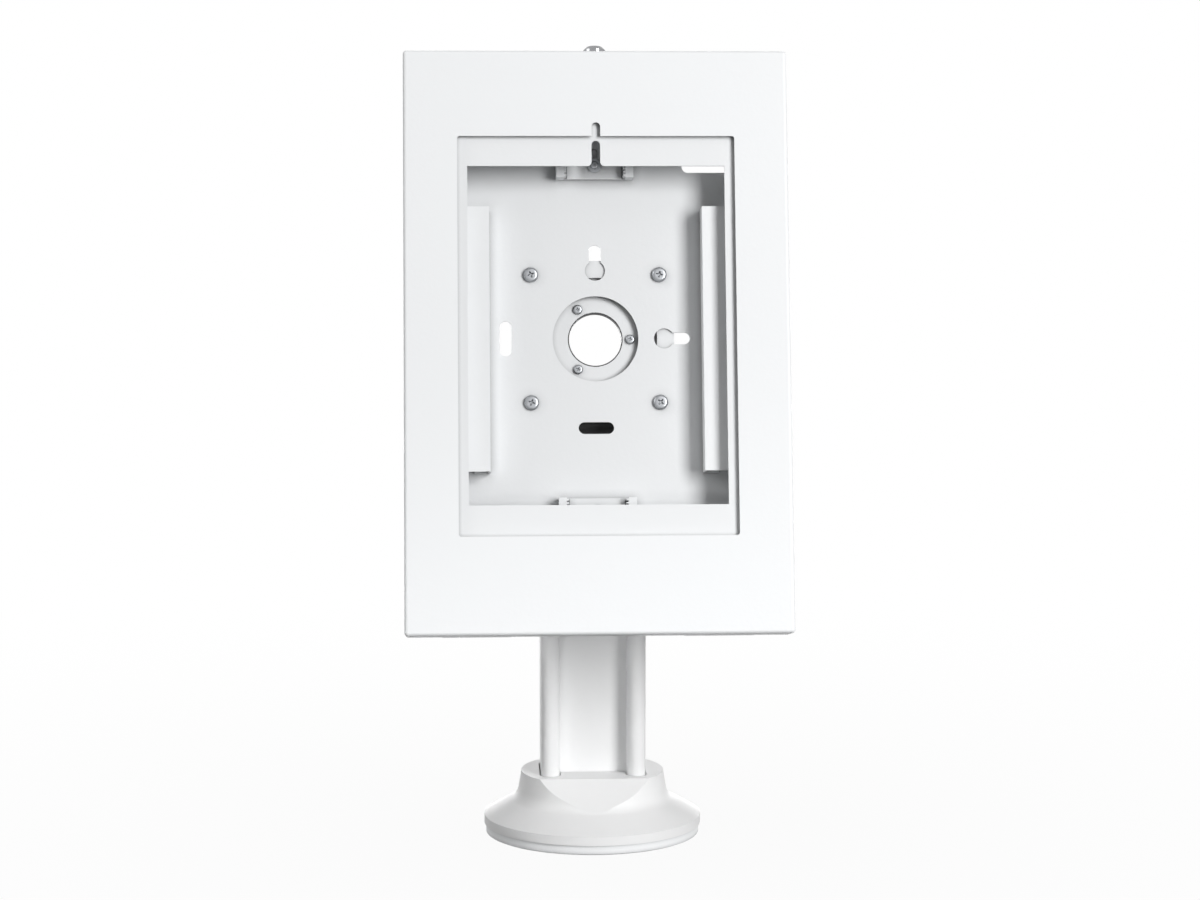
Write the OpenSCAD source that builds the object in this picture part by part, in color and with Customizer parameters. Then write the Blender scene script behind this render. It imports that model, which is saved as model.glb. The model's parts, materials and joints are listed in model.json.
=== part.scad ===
// Countertop security stand for a tablet: a round bolted foot, an H-profile column with a
// tilting head, and a lockable sheet-steel enclosure that turns between portrait and landscape.
// Z is up, the front faces -Y, and the origin is the middle of the foot's underside.
// All sizes are in millimetres.

/* [Foot] */
// Radius of the foot cover's rim
foot_r = 65.5; // [62:0.5:80]
// Height of the foot cover's rim band
rim_h = 5.4; // [4.8:0.1:8]
// Radius of the collar round the column
collar_r = 43; // [42:0.5:46]
// Height of the collar's top above the counter
collar_top = 37.7; // [34:0.1:45]
// Height at which the lines of the foot cover's skirt and collar would meet
flank_z = 22.4; // [21:0.1:27]
// Flare of the collar down to that height
collar_flare = 2.6; // [1:0.1:4]
// Radius of the hollow between skirt and collar
hollow_r = 10; // [8:0.5:14]
// Distance of the sloped facets from the column's axis at the collar's top
facet_y = 28; // [27:0.5:32]
// Wall of the foot cover
foot_wall = 2.5; // [1.5:0.1:3]
// Thickness of the steel foot plate
plate_t = 5.4; // [4:0.1:8]
// Inset of the foot plate from the cover's rim
plate_inset = 1; // [0.5:0.1:2]
// Thickness of the anti-slip pad
pad_t = 0.5; // [0.3:0.1:1]
// Pitch circle of the counter bolts
bolt_pcd = 106; // [100:1:112]
// Holes for the counter bolts
bolt_hole_d = 6.6; // [4.5:0.1:8.5]
// Width of the cable exit at the rear of the foot cover
cable_exit_w = 12; // [8:0.5:14]
// Height of the cable exit at the rear of the foot cover
cable_exit_h = 4.5; // [3:0.1:5]

/* [Column] */
// Width of the column
column_w = 62.7; // [60:0.1:66]
// Depth of the column
column_depth = 42.8; // [40:0.1:46]
// Height of the column's top above the counter
column_top = 263.2; // [240:0.1:300]
// Width of each rounded rail
rail_w = 11; // [10:0.1:13]
// Depth of the front channel, from the rails to the web
channel_depth = 13.9; // [12:0.1:16]
// Wall of the rails and the web
column_wall = 2.4; // [1.8:0.1:2.8]
// Distance of the screw ports from the column's middle
port_y = 10; // [8:0.1:11]
// Core diameter of the screw ports
port_d = 4.2; // [4:0.1:4.6]
// Thickness of the column cap
cap_t = 2.5; // [2:0.1:3]
// Gap between the foot cover and the column
collar_gap = 0.8; // [0.5:0.1:1.2]

/* [Tilting head] */
// Backward lean of the enclosure
rest_tilt = 11.5; // [0:0.5:30]
// Diameter of the tilt axle
axle_d = 8; // [6:0.5:9]
// Axle height below the column's top
axle_below_top = 13; // [12:0.5:16]
// Axle distance in front of the rails
axle_reach = 8.4; // [8:0.1:12]
// Axle distance below the hub axis, along the enclosure
axle_drop = 48; // [46:0.5:56]
// Axle distance behind the tilt bracket's plate
axle_setback = 10.8; // [10:0.1:14]
// Width of the hinge block
block_w = 26; // [24:0.5:27]
// Height of the hinge block's body below the axle
block_drop = 24; // [20:0.5:40]
// Radius of the hinge barrel
barrel_r = 8; // [7:0.1:8.5]
// Thickness of the tilt bracket's steel
bracket_t = 3; // [2.5:0.1:3.5]
// Radius of the bracket's ears and plate corners round the axle
ear_r = 9; // [8:0.1:9.5]

/* [Hub] */
// Diameter of the hub hole in the case
hub_hole_d = 50; // [44:0.5:54]
// Side of the square mounting plate
vesa_side = 92; // [90:0.5:100]
// Spacing of the mounting screws
vesa_pitch = 75; // [75:1:75]
// Thickness of the mounting plate
vesa_t = 2; // [1.5:0.1:2.5]
// Radius of the mounting plate's dish
dish_r = 38; // [36:0.5:40]
// Depth of the mounting plate's dish
dish_depth = 3; // [2.5:0.1:4]
// Diameter of the cable hole through the mounting plate
cable_hole_d = 32; // [24:0.5:33]
// Outer diameter of the hub sleeve
sleeve_d = 38; // [37:0.1:39]
// Wall of the hub sleeve
sleeve_wall = 1.75; // [1.5:0.05:2]
// Wall of the hub sleeve's spigot in the cable hole
spigot_wall = 0.6; // [0.5:0.1:1]
// Diameter of the hub sleeve's flange
flange_d = 52; // [50:0.5:56]
// Thickness of the hub sleeve's flange
flange_t = 3.5; // [3:0.1:4.5]
// Pitch circle of the three hub screws
hub_pcd = 40.6; // [40:0.1:42]
// Thickness of the friction washers
washer_t = 0.5; // [0.4:0.1:0.8]
// Thickness of the hub's lock ring
ring_t = 4; // [3:0.1:5]

/* [Enclosure] */
// Outer width of the front cover
cover_w = 222; // [216:0.5:250]
// Hub axis to the cover's top edge
cover_top = 164.3; // [160:0.1:190]
// Hub axis to the cover's bottom edge
cover_bottom = 173; // [160:0.5:190]
// Depth of the cover's turned-back edges
cover_depth = 26; // [20:0.5:27]
// Thickness of the sheet steel
sheet = 1.2; // [1:0.1:1.4]
// Inner bend radius of the sheet steel
bend_r = 0.8; // [0.5:0.1:1.5]
// Depth of the back plate's inner face behind the cover's front
case_depth = 28; // [27.5:0.5:34]
// Depth at which the case's walls start behind the cover's front
wall_front = 8; // [7.5:0.1:9]
// Gap between the case and the cover at the sides and bottom
side_gap = 0.5; // [0.4:0.1:1]
// Gap between the case and the cover at the top, for the swing
swing_gap = 1.2; // [1:0.1:2]
// Width of the window
window_w = 160; // [150:0.5:168]
// Hub axis to the window's top edge
window_top = 114; // [105:0.5:120]
// Hub axis to the window's bottom edge
window_bottom = 116.9; // [105:0.1:120]
// Width of the front-camera notches
notch_w = 5; // [4:0.5:8]
// Height of the front-camera notch above the window
window_notch = 8; // [5:0.5:10]

/* [Inner frame] */
// Depth of the inner frame's face behind the cover's front
frame_setback = 3.2; // [3:0.1:4.5]
// Width of the inner frame's opening
opening_w = 148.5; // [130:0.5:156]
// Hub axis to the opening's top edge
opening_top = 97.1; // [90:0.1:102]
// Hub axis to the opening's bottom edge
opening_bottom = 99; // [90:0.1:102]
// Height of the camera notch above the opening
opening_notch = 14.8; // [10:0.1:16]
// Inner frame's overlap beyond the window at the sides
frame_side = 16.75; // [15:0.25:18]
// Inner frame's overlap beyond the window at the top and bottom
frame_end = 19; // [15:0.5:22]
// Diameter of the cover's studs
stud_d = 3; // [2.5:0.1:3.5]

/* [Tablet holders] */
// Distance of the side supports from the hub axis
support_in = 61.7; // [60:0.1:63]
// Width of the side supports
support_w = 24.3; // [20:0.1:26]
// Length of the side supports
support_len = 154; // [120:1:170]
// Height of the side supports' face above the back plate
support_rise = 16; // [13:0.1:17]
// Distance of the side supports' middle below the hub axis
support_drop = 1.8; // [0:0.1:3]
// Half width of the toothed tracks
track_half = 22.5; // [21:0.5:25]
// Distance of the tracks from the hub axis
track_in = 93.5; // [88:0.5:95]
// Length of the tracks
track_len = 34.5; // [33:0.5:38]
// Height of the toothed rails above the back plate
track_rise = 10; // [8:0.1:12]
// Width of the toothed rails
tooth_rail_w = 6; // [5:0.1:7]
// Pitch of the teeth
tooth_pitch = 1.9; // [1.2:0.1:2]
// Distance of the sliders' tablet stops from the hub axis
stop_at = 122; // [120:0.5:123]
// Travel of each slider towards the hub
slide_in = 8; // [5:0.5:8]
// Travel of each slider away from the hub
slide_out = 2; // [1:0.5:2]
// Thickness of the sliders
slider_t = 2; // [1.6:0.1:2.4]

/* [Cover hinge and lock] */
// Radius of the hinge knuckles
knuckle_r = 3; // [2.8:0.1:3.5]
// Diameter of the hinge pins
pin_d = 3; // [2.4:0.1:3.2]
// Length of each hinge
hinge_len = 40; // [30:1:50]
// Distance of each hinge from the middle
hinge_x = 70; // [50:1:80]
// Depth of the lock's axis behind the cover's front
lock_depth = 11; // [10.5:0.1:11.3]
// Diameter of the lock's head
lock_head_d = 13; // [12.5:0.1:16]
// Height of the lock's head above the cover's top edge
lock_head_h = 4.4; // [4:0.1:8]
// Bevel round the top of the lock's head
lock_bevel = 2; // [1:0.1:2]
// Diameter of the lock's threaded body
lock_body_d = 11; // [10:0.1:11.5]
// Length of the lock's body inside the cover
lock_body_len = 15.6; // [14:0.1:18]
// Diameter of the lock's turning plug
plug_d = 8; // [7:0.1:8.4]
// Reach of the lock's cam
cam_reach = 12.4; // [12:0.1:12.4]

/* [Hidden] */
$fn = 64;

// Clearances
run_gap = 0.05;
press_gap = 0.01;
thread_gap = 0.1;
slide_gap = 0.4;
cut = 1;

// Shares of a cross-head screw's head
head_top_share = 0.7;
recess_l_share = 0.55;
recess_w_share = 0.14;

// Foot and column
plate_top = pad_t + plate_t;
rim_top = plate_top + rim_h;
flank_r = collar_r + collar_flare;
skirt_slope = atan((flank_z - rim_top) / (foot_r - flank_r));
collar_lean = atan(collar_flare / (collar_top - flank_z));
hollow_turn = (90 - skirt_slope + collar_lean) / 2;
hollow_half = (90 - skirt_slope - collar_lean) / 2;
hollow_at = [flank_r, flank_z] + hollow_r / cos(hollow_half) * [cos(hollow_turn), sin(hollow_turn)];
hollow_steps = 12;
// The facet's slope falls from the collar's top until it touches the hollow
facet_top = [facet_y, collar_top];
facet_line = hollow_at - facet_top;
facet_fall = asin(hollow_r / norm(facet_line)) - atan2(facet_line[1], facet_line[0]);
facet_run = sqrt(pow(norm(facet_line), 2) - pow(hollow_r, 2));
facet_low = facet_top + facet_run * [cos(facet_fall), -sin(facet_fall)];
plate_r = foot_r - plate_inset;
rail_x = (column_w - rail_w) / 2;
rail_in = column_w / 2 - rail_w;
column_front = -column_depth / 2;
web_front = column_front + channel_depth;
web_back = web_front + column_wall;
bolt_r = bolt_pcd / 2;
bolt_count = 4;
bolt_turn = 45;
bolt_clear = 3;
pad_inset = 1.5;
pad_clear_d = bolt_hole_d + 2 * bolt_clear;
column_screw_d = port_d - 2 * thread_gap;
column_screw_head_d = 2 * column_screw_d;
column_screw_len = 16;
cap_plug_h = 6;
strip_t = 1.6;
strip_leg_h = 7;
strip_low = collar_top + rim_h;

// Depths behind the cover's front, along the enclosure
case_back = case_depth + sheet;
frame_back = frame_setback + sheet;
support_front = case_depth - support_rise;
rim_back = case_back + vesa_t;
floor_front = case_back + dish_depth;
floor_back = floor_front + vesa_t;
flange_back = floor_back + flange_t;
bracket_front = flange_back + washer_t;
bracket_back = bracket_front + bracket_t;
ring_front = bracket_back + washer_t;
ring_back = ring_front + ring_t;
sleeve_end = ring_back + washer_t;
axle_depth = bracket_back + axle_setback;

// Tilt axle and the enclosure's place
axle_y = column_front - axle_reach;
axle_z = column_top - axle_below_top;
face_y = axle_y - axle_depth * cos(rest_tilt) + axle_drop * sin(rest_tilt);
face_z = axle_z + axle_depth * sin(rest_tilt) + axle_drop * cos(rest_tilt);
ear_in = block_w / 2 + slide_gap;
ear_out = ear_in + bracket_t;
spring_t = 1.2;
spring_wall = 3.2;
spring_d = axle_d + 2 * spring_wall;
axle_head_wall = 2.4;
axle_head_d = axle_d + 2 * axle_head_wall;
axle_head_t = axle_d / 2;
axle_end = ear_out + 2 * run_gap + spring_t;
block_screw_d = 5;
block_head_d = 9;
block_head_h = 3;
block_screw_pitch = 14;
block_screw_bite = 8;

// Hub
vesa_screw_d = 4;
vesa_head_d = 8.8;
vesa_head_h = 2.6;
vesa_corner_r = 6;
hub_screw_count = 3;
hub_screw_d = 3;
hub_head_d = 5.6;
hub_head_h = 1.9;
sleeve_bore_d = sleeve_d - 2 * sleeve_wall;
spigot_d = cable_hole_d - 2 * run_gap;
spigot_bore_d = spigot_d - 2 * spigot_wall;
ring_inset = 2;
ring_d = flange_d - 2 * ring_inset;
ring_notches = 4;
bracket_bore_d = sleeve_d + 2 * run_gap;
bracket_margin = 3;
plate_round_r = flange_d / 2 + bracket_margin;

// Case and cover
cover_half = cover_w / 2;
case_half = cover_half - sheet - side_gap;
case_top = cover_top - sheet - swing_gap;
case_low = cover_bottom - sheet - side_gap;
window_r = 1.5;
keyhole_d = 11.8;
keyhole_slot = 6.9;
keyhole_at = 40;
keyhole_end = 55;
cable_slot_len = 20.6;
cable_slot_at = 52.35;
camera_x = 51.5;
camera_z = 98;
camera_w = 34;
camera_h = 25;
camera_r = 3.5;

// Inner frame
frame_half = window_w / 2 + frame_side;
frame_top = window_top + frame_end;
frame_low = window_bottom + frame_end;
stud_inset = 4;
stud_x = frame_half - stud_inset;
stud_z = 100;
nut_wall = 1.25;
nut_across = stud_d + 2 * nut_wall;
nut_t = 2.4;
spacer_d = 2 * stud_d;
notch_flare = 2.5;

// Tablet holders
lip_w = 8;
rivet_d = 3.2;
rivet_head_d = 6;
rivet_crown_d = 3.6;
rivet_head_h = 1;
rivet_inset = 16;
rivet_z = support_len / 2 - rivet_inset;
tooth_h = 1.4;
// Corners of one tooth: share of the pitch along the rail and share of the depth
tooth_corners = [[0, 1], [0.35, 1], [0.5, 0], [0.85, 0]];
track_screw_d = 3;
track_screw_inset = 8.2;
track_screw_at = track_in + track_screw_inset;
track_washer_d = 8.6;
track_washer_t = 0.8;
track_head_d = 4.8;
track_head_h = 1.8;
slider_half = track_half - tooth_rail_w - slide_gap;
slider_back = case_depth - sheet - thread_gap;
slider_front = slider_back - slider_t;
stop_t = 2.4;
stop_gap = 1.3;
stop_front = frame_back + stop_gap;
stop_pad_t = 1.2;

// Cover hinge and lock
hinge_gap = 0.4;
hinge_depth = case_back + hinge_gap + knuckle_r;
hinge_z = knuckle_r - cover_bottom;
middle_knuckle = hinge_len / 2;
leaf_h = 16;
lock_nut_wall = 2;
lock_nut_across = lock_body_d + 2 * lock_nut_wall;
lock_nut_t = 4;
lock_notch_half = 10;
cam_t = 2;
cam_half = 4;
cam_gap = 0.4;
cam_z = cover_top - sheet - lock_body_len - run_gap - cam_t;
catch_t = sheet;
catch_back = lock_depth - cam_half - cam_gap;
catch_in = 6.6;
catch_stem = 12;
catch_out = 20;
catch_over = 4;
catch_low = cam_z - catch_over;
catch_high = cam_z + cam_t + catch_over;
cam_drive = 5;
cam_screw_d = 3;
cam_screw_head_d = 6.5;
cam_screw_head_h = 2;
keyway_w = 1.6;
keyway_len = 5;

// Places its children in the leaning enclosure's own frame
module in_enclosure() {
    translate([0, face_y, face_z]) rotate([-rest_tilt, 0, 0]) children();
}

// Extrudes a face drawing from depth y0 to depth y1
module through(y0, y1) {
    translate([0, y1, 0]) rotate([90, 0, 0]) linear_extrude(y1 - y0) children();
}

// Extrudes a side drawing of depth and height from x0 to x1
module across(x0, x1) {
    translate([x0, 0, 0]) rotate([90, 0, 90]) linear_extrude(x1 - x0) children();
}

// Round bar along the depth, straight or tapered
module bar_y(y0, y1, d, d_end) {
    translate([0, y0, 0]) rotate([-90, 0, 0]) cylinder(h = y1 - y0, d1 = d, d2 = d_end);
}

// Round bar along the width
module bar_x(x0, x1, d) {
    translate([x0, 0, 0]) rotate([0, 90, 0]) cylinder(h = x1 - x0, d = d);
}

// Rectangle between two corners
module rect(x0, x1, z0, z1) {
    translate([x0, z0]) square([x1 - x0, z1 - z0]);
}

// Rectangle between two corners with round corners
module round_rect(x0, x1, z0, z1, r) {
    rect(x0 + r, x1 - r, z0, z1);
    rect(x0, x1, z0 + r, z1 - r);
    for (x = [x0 + r, x1 - r])
        for (z = [z0 + r, z1 - r])
            translate([x, z]) circle(r);
}

// Slot with round ends, upright when tall is true
module slot(length, width, tall) {
    run = length / 2 - width / 2;
    turn = tall ? 90 : 0;
    rotate(turn) {
        square([2 * run, width], center = true);
        for (side = [-1, 1]) translate([side * run, 0]) circle(d = width);
    }
}

// Block with rounded edges round its closed face at depth zero
module soft_block(half, low, top, depth, r) {
    h = low + top;
    translate([-half + r, 0, -low + r]) cube([2 * (half - r), depth, h - 2 * r]);
    translate([-half, r, -low + r]) cube([2 * half, depth - r, h - 2 * r]);
    translate([-half + r, r, -low]) cube([2 * (half - r), depth - r, h]);
    for (x = [-half + r, half - r]) {
        for (z = [-low + r, top - r]) {
            translate([x, 0, z]) bar_y(r, depth, 2 * r, 2 * r);
            translate([x, r, z]) sphere(r);
        }
        translate([x, r, -low + r]) cylinder(h = h - 2 * r, r = r);
    }
    for (z = [-low + r, top - r]) translate([0, r, z]) bar_x(-half + r, half - r, 2 * r);
}

// Folded sheet tray, closed at depth zero and open behind
module tray(half, low, top, depth) {
    difference() {
        soft_block(half, low, top, depth, bend_r + sheet);
        translate([0, sheet, 0])
            soft_block(half - sheet, low - sheet, top - sheet, depth, bend_r);
    }
}

// Cross-head screw along the depth, with its head's seat at depth zero
module cross_screw(head_d, head_h, shank_d, shank_len) {
    edge = head_h / 2;
    recess_w = recess_w_share * head_d;
    recess_l = recess_l_share * head_d;
    difference() {
        union() {
            bar_y(-edge, 0, head_d, head_d);
            bar_y(-head_h, -edge, head_top_share * head_d, head_d);
            bar_y(0, shank_len, shank_d, shank_d);
        }
        for (turn = [0, 90])
            rotate([0, turn, 0])
                translate([-recess_l / 2, -head_h - cut, -recess_w / 2])
                    cube([recess_l, cut + edge, recess_w]);
    }
}

// Outline of the column's rounded rails, widened by a gap
module rails_outline(gap) {
    for (side = [-1, 1])
        translate([side * rail_x, 0]) slot(column_depth + 2 * gap, rail_w + 2 * gap, true);
}

// Places of the column's screw ports
module at_ports() {
    for (x = [-rail_x, rail_x])
        for (y = [-port_y, port_y])
            translate([x, y, 0]) children();
}

// Places of the counter bolts
module at_bolts() {
    for (i = [1 : bolt_count])
        rotate(bolt_turn + 360 / bolt_count * i) translate([bolt_r, 0, 0]) children();
}

// Cut of one sloped facet of the foot cover, drawn as depth and height
module facet_cut(inset) {
    slope = (facet_top - facet_low) / norm(facet_top - facet_low);
    inward = inset * [-slope[1], slope[0]];
    far = foot_r + collar_top;
    top = facet_top + inward + collar_top * slope;
    low = facet_low + inward;
    polygon([top, low, [far, low[1]], [far, top[1]]]);
}

// Half section of the foot cover's solid, drawn in by a wall
module foot_profile(inset, low) {
    rim_in = inset * (1 - sin(skirt_slope)) / cos(skirt_slope);
    collar_in = inset * (1 - sin(collar_lean)) / cos(collar_lean);
    hollow = [
        for (i = [0 : hollow_steps])
            let (turn = hollow_turn + hollow_half * (1 - 2 * i / hollow_steps))
                hollow_at - (hollow_r + inset) * [cos(turn), sin(turn)]
    ];
    polygon(concat(
        [[0, low], [foot_r - inset, low], [foot_r - inset, rim_top - rim_in]],
        hollow,
        [[collar_r - collar_in, collar_top - inset], [0, collar_top - inset]]
    ));
}

// Foot cover's solid with its two facets, drawn in by a wall
module foot_form(inset, low) {
    difference() {
        rotate_extrude() foot_profile(inset, low);
        for (turn = [0, 180])
            rotate(turn) across(-foot_r - cut, foot_r + cut) facet_cut(inset);
    }
}

module base_pad() {
    color("lightgray")
        difference() {
            cylinder(h = pad_t, r = plate_r - pad_inset);
            translate([0, 0, -cut]) at_bolts() cylinder(h = pad_t + 2 * cut, d = pad_clear_d);
        }
}

module base_plate() {
    sink = column_screw_head_d - column_screw_d;
    color("whitesmoke")
        translate([0, 0, pad_t])
            difference() {
                cylinder(h = plate_t, r = plate_r);
                translate([0, 0, -cut]) at_bolts() cylinder(h = plate_t + 2 * cut, d = bolt_hole_d);
                at_ports() {
                    translate([0, 0, -cut])
                        cylinder(h = plate_t + 2 * cut, d = column_screw_d + 2 * thread_gap);
                    cylinder(
                        h = sink / 2,
                        d1 = column_screw_head_d + 2 * thread_gap,
                        d2 = column_screw_d + 2 * thread_gap
                    );
                }
            }
}

module base_cover() {
    color("white")
        difference() {
            foot_form(0, plate_top);
            foot_form(foot_wall, plate_top - cut);
            linear_extrude(collar_top + cut) {
                rails_outline(collar_gap);
                rect(-rail_x, rail_x, web_front - collar_gap, -column_front - collar_gap);
            }
            translate([-cable_exit_w / 2, collar_r, plate_top - cut])
                cube([cable_exit_w, foot_r - collar_r + cut, cut + cable_exit_h]);
        }
}

// Cross-section of the column: two hollow rails with screw ports, joined by the web
module column_section() {
    chamber = rail_w - 2 * column_wall;
    difference() {
        union() {
            rails_outline(0);
            rect(-rail_x, rail_x, web_front, web_back);
        }
        for (side = [-1, 1])
            translate([side * rail_x, 0])
                difference() {
                    slot(column_depth - 2 * column_wall, chamber, true);
                    for (y = [-port_y, port_y])
                        translate([0, y]) square([rail_w, port_d + 2 * column_wall], center = true);
                }
        at_ports() circle(d = port_d);
    }
}

module column() {
    hole_d = block_screw_d + 2 * thread_gap;
    color("whitesmoke")
        difference() {
            translate([0, 0, plate_top])
                linear_extrude(column_top - plate_top) column_section();
            at_block_screws() bar_y(web_front - cut, web_back + cut, hole_d, hole_d);
        }
}

module column_screws() {
    sink = column_screw_head_d - column_screw_d;
    color("silver")
        translate([0, 0, pad_t])
            at_ports() {
                cylinder(h = sink / 2, d1 = column_screw_head_d, d2 = column_screw_d);
                cylinder(h = plate_t + column_screw_len, d = column_screw_d);
            }
}

module column_cap() {
    chamber = rail_w - 2 * column_wall - 2 * thread_gap;
    plug_len = 2 * (port_y - port_d / 2 - column_wall - thread_gap);
    color("white")
        translate([0, 0, column_top]) {
            linear_extrude(cap_t)
                difference() {
                    union() {
                        rails_outline(0);
                        rect(-rail_x, rail_x, web_front, -column_front - rail_w / 2);
                    }
                    translate([0, (web_back - column_front) / 2 - rail_w / 4])
                        slot(2 * rail_in - rail_w, rail_w, false);
                }
            for (side = [-1, 1])
                translate([side * rail_x - chamber / 2, -plug_len / 2, -cap_plug_h])
                    cube([chamber, plug_len, cap_plug_h]);
        }
}

module cable_cover() {
    half = rail_in - slide_gap;
    back = -column_front - rail_w / 2;
    leg = half - strip_t;
    color("whitesmoke")
        translate([0, 0, strip_low])
            linear_extrude(column_top - strip_low - thread_gap) {
                rect(-half, half, back - strip_t, back);
                for (side = [0, 1])
                    mirror([side, 0]) rect(leg, half, back - strip_leg_h, back);
            }
}

// Places of the screws that hold the hinge block to the column's web
module at_block_screws() {
    for (side = [-1, 1])
        translate([0, 0, axle_z - block_drop / 2 + side * block_screw_pitch / 2]) children();
}

module hinge_block() {
    half = block_w / 2;
    neck = axle_z - barrel_r;
    color("black")
        difference() {
            union() {
                translate([0, axle_y, axle_z]) bar_x(-half, half, 2 * barrel_r);
                translate([-half, axle_y, neck]) cube([block_w, web_front - axle_y, 2 * barrel_r]);
                translate([-half, column_front, axle_z - block_drop])
                    cube([block_w, web_front - column_front, block_drop]);
            }
            translate([0, axle_y, axle_z]) bar_x(-half - cut, half + cut, axle_d + 2 * press_gap);
            at_block_screws()
                bar_y(
                    web_front - block_screw_bite - cut,
                    web_front + cut,
                    block_screw_d + 2 * press_gap,
                    block_screw_d + 2 * press_gap
                );
        }
}

module hinge_block_screws() {
    color("silver")
        at_block_screws()
            mirror([0, 1, 0])
                translate([0, -web_back, 0])
                    cross_screw(
                        block_head_d,
                        block_head_h,
                        block_screw_d,
                        column_wall + block_screw_bite
                    );
}

module tilt_axle() {
    color("gray")
        translate([0, axle_y, axle_z]) {
            bar_x(-axle_end, axle_end + axle_head_t, axle_d);
            bar_x(-axle_end - axle_head_t, -axle_end, axle_head_d);
        }
}

module axle_washers() {
    color("silver")
        translate([0, axle_y, axle_z])
            for (side = [0, 1])
                mirror([side, 0, 0])
                    difference() {
                        bar_x(ear_out + run_gap, ear_out + run_gap + spring_t, spring_d);
                        bar_x(ear_out - cut, axle_end + cut, axle_d + 2 * press_gap);
                    }
}

module axle_nut() {
    color("silver")
        translate([0, axle_y, axle_z])
            difference() {
                translate([axle_end, 0, 0])
                    rotate([0, 90, 0]) cylinder(h = axle_head_t, d = axle_head_d, $fn = 6);
                bar_x(axle_end - cut, axle_end + axle_head_t + cut, axle_d + 2 * press_gap);
            }
}

module tilt_bracket() {
    low = -axle_drop - ear_r;
    slot_top = -plate_round_r - bracket_t;
    color("white")
        in_enclosure()
            difference() {
                union() {
                    through(bracket_front, bracket_back) {
                        circle(plate_round_r);
                        rect(-ear_out, ear_out, low, 0);
                    }
                    for (side = [0, 1])
                        mirror([side, 0, 0]) across(ear_in, ear_out) {
                            rect(bracket_front, axle_depth, low, -axle_drop + ear_r);
                            translate([axle_depth, -axle_drop]) circle(ear_r);
                        }
                }
                bar_y(bracket_front - cut, bracket_back + cut, bracket_bore_d, bracket_bore_d);
                through(bracket_front - cut, bracket_back + cut)
                    rect(-ear_in, ear_in, low - cut, slot_top);
                translate([0, axle_depth, -axle_drop])
                    bar_x(-ear_out - cut, ear_out + cut, axle_d + 2 * run_gap);
            }
}

// Places of the three hub screws
module at_hub_screws() {
    for (i = [1 : hub_screw_count])
        rotate([0, 360 / hub_screw_count * i, 0]) translate([hub_pcd / 2, 0, 0]) children();
}

module hub_sleeve() {
    color("lightgray")
        in_enclosure()
            difference() {
                union() {
                    bar_y(floor_front, floor_back, spigot_d, spigot_d);
                    bar_y(floor_back, flange_back, flange_d, flange_d);
                    bar_y(floor_back, sleeve_end, sleeve_d, sleeve_d);
                }
                bar_y(floor_front - cut, flange_back + cut, spigot_bore_d, spigot_bore_d);
                bar_y(flange_back, sleeve_end + cut, sleeve_bore_d, sleeve_bore_d);
                at_hub_screws()
                    bar_y(
                        floor_back - cut,
                        flange_back,
                        hub_screw_d + 2 * press_gap,
                        hub_screw_d + 2 * press_gap
                    );
            }
}

module hub_washers() {
    color("ivory")
        in_enclosure()
            for (y = [flange_back + run_gap, bracket_back])
                difference() {
                    bar_y(y, y + washer_t - run_gap, ring_d, ring_d);
                    bar_y(y - cut, y + washer_t + cut, bracket_bore_d, bracket_bore_d);
                }
}

module hub_lock_ring() {
    grip = sleeve_d + 2 * press_gap;
    notch = ring_t;
    color("silver")
        in_enclosure()
            difference() {
                bar_y(ring_front, ring_back, ring_d, ring_d);
                bar_y(ring_front - cut, ring_back + cut, grip, grip);
                for (i = [1 : ring_notches])
                    rotate([0, 360 / ring_notches * i, 0])
                        translate([ring_d / 2 - notch / 2, ring_front - cut, -notch / 2])
                            cube([notch, ring_t + 2 * cut, notch]);
            }
}

// Places of the four mounting screws
module at_vesa() {
    for (x = [-1, 1])
        for (z = [-1, 1])
            translate([x * vesa_pitch / 2, 0, z * vesa_pitch / 2]) children();
}

module vesa_plate() {
    half = vesa_side / 2;
    inner_d = 2 * (dish_r - vesa_t);
    hole_d = vesa_screw_d + 2 * press_gap;
    screw_d = hub_screw_d + 2 * thread_gap;
    color("white")
        in_enclosure()
            difference() {
                union() {
                    through(case_back, rim_back) round_rect(-half, half, -half, half, vesa_corner_r);
                    bar_y(case_back, floor_back, 2 * dish_r, 2 * dish_r);
                }
                bar_y(case_back - cut, floor_front, inner_d, inner_d);
                bar_y(floor_front - cut, floor_back + cut, cable_hole_d, cable_hole_d);
                at_vesa() bar_y(case_back - cut, rim_back + cut, hole_d, hole_d);
                at_hub_screws() bar_y(floor_front - cut, floor_back + cut, screw_d, screw_d);
            }
}

module hub_screws() {
    color("silver")
        in_enclosure()
            at_hub_screws()
                translate([0, floor_front, 0])
                    cross_screw(hub_head_d, hub_head_h, hub_screw_d, vesa_t + flange_t - thread_gap);
}

module vesa_screws() {
    color("silver")
        in_enclosure()
            at_vesa()
                translate([0, case_depth, 0])
                    cross_screw(vesa_head_d, vesa_head_h, vesa_screw_d, sheet + vesa_t + cut);
}

// Openings of the back plate, drawn as seen from the front
module back_openings() {
    circle(d = hub_hole_d);
    for (turn = [0, 90])
        rotate(turn) {
            translate([keyhole_at, 0]) circle(d = keyhole_d);
            translate([(keyhole_at + keyhole_end) / 2, 0])
                slot(keyhole_end - keyhole_at, keyhole_slot, false);
        }
    translate([-cable_slot_at, 0]) slot(cable_slot_len, keyhole_slot, true);
    translate([0, -cable_slot_at]) slot(cable_slot_len, keyhole_slot, false);
    round_rect(camera_x, camera_x + camera_w, camera_z, camera_z + camera_h, camera_r);
    for (x = [-1, 1])
        for (z = [-1, 1])
            translate([x * vesa_pitch / 2, z * vesa_pitch / 2])
                circle(d = vesa_screw_d + 4 * thread_gap);
}

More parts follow.
